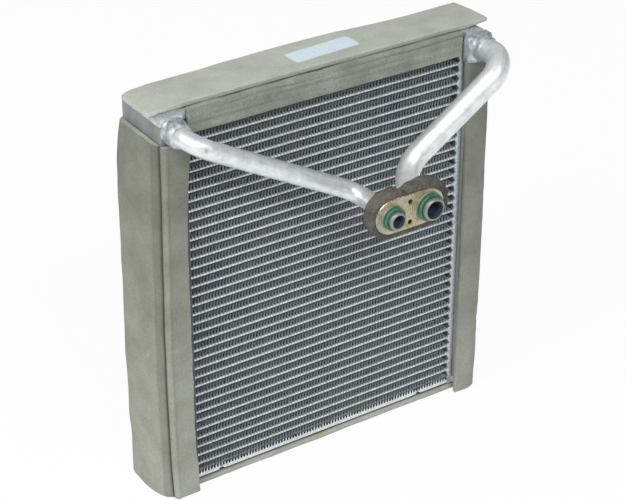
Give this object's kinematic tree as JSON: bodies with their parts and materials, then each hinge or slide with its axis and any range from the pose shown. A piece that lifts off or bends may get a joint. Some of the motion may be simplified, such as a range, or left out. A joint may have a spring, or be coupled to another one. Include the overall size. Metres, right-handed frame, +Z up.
{
  "type": "air conditioning evaporator core",
  "caption": "Brazed aluminium evaporator core with flat tubes and corrugated fins between two tanks, bent pipes to a connection block, and foam seals",
  "frame": {"origin": "centre of the underside of the bottom foam, under the middle of the core", "axes": "+X along the flat tubes from the inlet side to the outlet side, +Y through the core from the connection block's side to the back, +Z up the stack of tubes"},
  "size_m": [0.2663, 0.1226, 0.2883],
  "materials": {
    "tube_aluminium": "brazed, dull satin",
    "tank_aluminium": "brazed, dull satin",
    "pipe_aluminium": "satin, bright on the bends",
    "socket_aluminium": "brazed, slightly rough",
    "block_aluminium": "pale gold passivation",
    "ring_rubber": "green, smooth",
    "seal_foam": "dark soft foam",
    "grey_foam": "grey closed-cell foam",
    "pale_foam": "pale grey closed-cell foam",
    "label_paper": "matt white sticker, blank"
  },
  "bodies": {
    "root": {"tube_and_fin_01": "tube_aluminium", "tube_and_fin_02": "tube_aluminium", "tube_and_fin_03": "tube_aluminium", "tube_and_fin_04": "tube_aluminium", "tube_and_fin_05": "tube_aluminium", "tube_and_fin_06": "tube_aluminium", "tube_and_fin_07": "tube_aluminium", "tube_and_fin_08": "tube_aluminium", "tube_and_fin_09": "tube_aluminium", "tube_and_fin_10": "tube_aluminium", "tube_and_fin_11": "tube_aluminium", "tube_and_fin_12": "tube_aluminium", "tube_and_fin_13": "tube_aluminium", "tube_and_fin_14": "tube_aluminium", "tube_and_fin_15": "tube_aluminium", "tube_and_fin_16": "tube_aluminium", "tube_and_fin_17": "tube_aluminium", "tube_and_fin_18": "tube_aluminium", "tube_and_fin_19": "tube_aluminium", "tube_and_fin_20": "tube_aluminium", "tube_and_fin_21": "tube_aluminium", "tube_and_fin_22": "tube_aluminium", "tube_and_fin_23": "tube_aluminium", "tube_and_fin_24": "tube_aluminium", "tube_and_fin_25": "tube_aluminium", "tube_and_fin_26": "tube_aluminium", "tube_and_fin_27": "tube_aluminium", "tube_and_fin_28": "tube_aluminium", "tube_and_fin_29": "tube_aluminium", "tube_and_fin_30": "tube_aluminium", "tube_and_fin_31": "tube_aluminium", "tube_and_fin_32": "tube_aluminium", "tube_and_fin_33": "tube_aluminium", "tube_and_fin_34": "tube_aluminium", "tube_and_fin_35": "tube_aluminium", "tube_and_fin_36": "tube_aluminium", "tube_and_fin_37": "tube_aluminium", "tube_and_fin_38": "tube_aluminium", "bottom_side_plate": "tube_aluminium", "top_side_plate": "tube_aluminium", "left_header_plate": "tank_aluminium", "right_header_plate": "tank_aluminium", "left_tank": "tank_aluminium", "right_tank": "tank_aluminium", "bottom_caps": "tank_aluminium", "top_caps": "tank_aluminium", "left_socket": "socket_aluminium", "right_socket": "socket_aluminium", "inlet_pipe": "pipe_aluminium", "outlet_pipe": "pipe_aluminium", "inlet_o_ring": "ring_rubber", "outlet_o_ring": "ring_rubber", "connection_block": "block_aluminium", "block_seal": "seal_foam", "left_foam": "grey_foam", "right_foam": "grey_foam", "bottom_foam": "grey_foam", "top_foam": "pale_foam", "top_front_foam": "grey_foam", "label": "label_paper"}
  },
  "joints": []
}
